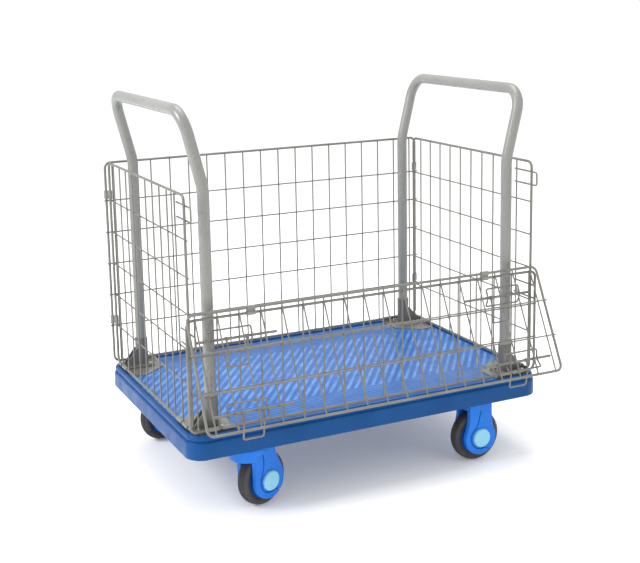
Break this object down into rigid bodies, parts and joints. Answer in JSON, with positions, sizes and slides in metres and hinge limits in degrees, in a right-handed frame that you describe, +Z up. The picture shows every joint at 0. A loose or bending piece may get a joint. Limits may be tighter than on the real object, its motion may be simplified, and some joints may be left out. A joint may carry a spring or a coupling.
{
  "type": "platform cart with mesh cage",
  "caption": "Flat platform cart with two tubular end handles, a wire mesh cage with a two-part drop front held by sliding bolts, and swivel and fixed casters.",
  "frame": {"origin": "on the floor below the middle of the deck", "axes": "+X along the deck away from the swivel casters, +Y away from the drop front, +Z up"},
  "size_m": [0.9, 0.6969, 0.903],
  "materials": {
    "deck_blue": "moulded resin, semi-gloss",
    "fork_blue": "moulded resin, gloss",
    "core_blue": "moulded resin, gloss",
    "cap_cyan": "moulded resin, gloss",
    "tyre_grey": "solid rubber, matt",
    "wire_zinc": "zinc plated wire",
    "zinc_steel": "zinc plated sheet",
    "grey_tube": "grey powder coat",
    "dark_steel": "dark grey coat",
    "screw_steel": "plated"
  },
  "bodies": {
    "cart": {"deck": "deck_blue", "corner_plate_fl": "zinc_steel", "corner_plate_fr": "zinc_steel", "corner_plate_bl": "zinc_steel", "corner_plate_br": "zinc_steel", "handle_left": "grey_tube", "handle_right": "grey_tube", "leg_socket_fl": "dark_steel", "leg_socket_fr": "dark_steel", "leg_socket_bl": "dark_steel", "leg_socket_br": "dark_steel", "socket_screws": "screw_steel", "back_panel": "wire_zinc", "left_panel": "wire_zinc", "right_panel": "wire_zinc", "corner_clips": "zinc_steel", "catch_loops_left": "wire_zinc", "catch_loops_right": "wire_zinc", "swivel_front_plate": "zinc_steel", "swivel_front_kingpin": "screw_steel", "swivel_back_plate": "zinc_steel", "swivel_back_kingpin": "screw_steel", "fixed_front_fork": "fork_blue", "fixed_front_axle": "screw_steel", "fixed_front_caps": "cap_cyan", "fixed_back_fork": "fork_blue", "fixed_back_axle": "screw_steel", "fixed_back_caps": "cap_cyan", "caster_bolts": "screw_steel"},
    "lower_panel": {"front_lower_panel": "wire_zinc", "hinge_clips": "zinc_steel", "guides_lower": "wire_zinc"},
    "flap": {"front_upper_panel": "wire_zinc", "guides_upper": "wire_zinc"},
    "lower_left_bolt": {"bolt_lower_left": "wire_zinc"},
    "lower_left_bail": {"bail_lower_left": "wire_zinc"},
    "lower_right_bolt": {"bolt_lower_right": "wire_zinc"},
    "lower_right_bail": {"bail_lower_right": "wire_zinc"},
    "upper_left_bolt": {"bolt_upper_left": "wire_zinc"},
    "upper_left_bail": {"bail_upper_left": "wire_zinc"},
    "upper_right_bolt": {"bolt_upper_right": "wire_zinc"},
    "upper_right_bail": {"bail_upper_right": "wire_zinc"},
    "swivel_front": {"swivel_front_fork": "fork_blue", "swivel_front_axle": "screw_steel", "swivel_front_caps": "cap_cyan"},
    "swivel_back": {"swivel_back_fork": "fork_blue", "swivel_back_axle": "screw_steel", "swivel_back_caps": "cap_cyan"},
    "swivel_front_wheel": {"swivel_front_core": "core_blue", "swivel_front_tyre": "tyre_grey", "swivel_front_bush": "dark_steel"},
    "swivel_back_wheel": {"swivel_back_core": "core_blue", "swivel_back_tyre": "tyre_grey", "swivel_back_bush": "dark_steel"},
    "fixed_front_wheel": {"fixed_front_core": "core_blue", "fixed_front_tyre": "tyre_grey", "fixed_front_bush": "dark_steel"},
    "fixed_back_wheel": {"fixed_back_core": "core_blue", "fixed_back_tyre": "tyre_grey", "fixed_back_bush": "dark_steel"}
  },
  "joints": [
    {"name": "lower_panel_hinge", "type": "hinge", "parent": "cart", "child": "lower_panel", "pos_m": [0, -0.283, 0.21], "axis": [1, 0, 0], "range_deg": [0, 76]},
    {"name": "flap_hinge", "type": "hinge", "parent": "lower_panel", "child": "flap", "pos_m": [0, -0.283, 0.467], "axis": [-1, 0, 0], "range_deg": [0, 154]},
    {"name": "lower_left_bolt_slide", "type": "slide", "parent": "lower_panel", "child": "lower_left_bolt", "axis": [-1, 0, 0], "range_m": [0, 0.026]},
    {"name": "lower_left_bail_hinge", "type": "hinge", "parent": "lower_left_bolt", "child": "lower_left_bail", "pos_m": [-0.334, -0.2894, 0.408], "axis": [-1, 0, 0], "range_deg": [-10, 30]},
    {"name": "lower_right_bolt_slide", "type": "slide", "parent": "lower_panel", "child": "lower_right_bolt", "axis": [1, 0, 0], "range_m": [0, 0.026]},
    {"name": "lower_right_bail_hinge", "type": "hinge", "parent": "lower_right_bolt", "child": "lower_right_bail", "pos_m": [0.334, -0.2894, 0.408], "axis": [-1, 0, 0], "range_deg": [-10, 30]},
    {"name": "upper_left_bolt_slide", "type": "slide", "parent": "flap", "child": "upper_left_bolt", "axis": [-1, 0, 0], "range_m": [0, 0.026]},
    {"name": "upper_left_bail_hinge", "type": "hinge", "parent": "upper_left_bolt", "child": "upper_left_bail", "pos_m": [-0.334, -0.3715, 0.27095], "axis": [-1, 0, 0], "range_deg": [-153, 7]},
    {"name": "upper_right_bolt_slide", "type": "slide", "parent": "flap", "child": "upper_right_bolt", "axis": [1, 0, 0], "range_m": [0, 0.026]},
    {"name": "upper_right_bail_hinge", "type": "hinge", "parent": "upper_right_bolt", "child": "upper_right_bail", "pos_m": [0.334, -0.3715, 0.27095], "axis": [-1, 0, 0], "range_deg": [-153, 7]},
    {"name": "swivel_front_turn", "type": "hinge", "parent": "cart", "child": "swivel_front", "pos_m": [-0.303, -0.254, 0.142], "axis": [0, 0, 1], "continuous": true},
    {"name": "swivel_front_wheel_spin", "type": "hinge", "parent": "swivel_front", "child": "swivel_front_wheel", "pos_m": [-0.26729, -0.241, 0.0625], "axis": [-0.342, 0.9397, 0], "continuous": true},
    {"name": "swivel_back_turn", "type": "hinge", "parent": "cart", "child": "swivel_back", "pos_m": [-0.303, 0.254, 0.142], "axis": [0, 0, 1], "continuous": true},
    {"name": "swivel_back_wheel_spin", "type": "hinge", "parent": "swivel_back", "child": "swivel_back_wheel", "pos_m": [-0.33871, 0.241, 0.0625], "axis": [0.342, -0.9397, 0], "continuous": true},
    {"name": "fixed_front_wheel_spin", "type": "hinge", "parent": "cart", "child": "fixed_front_wheel", "pos_m": [0.29, -0.254, 0.0625], "axis": [0, 1, 0], "continuous": true},
    {"name": "fixed_back_wheel_spin", "type": "hinge", "parent": "cart", "child": "fixed_back_wheel", "pos_m": [0.29, 0.254, 0.0625], "axis": [0, 1, 0], "continuous": true}
  ]
}
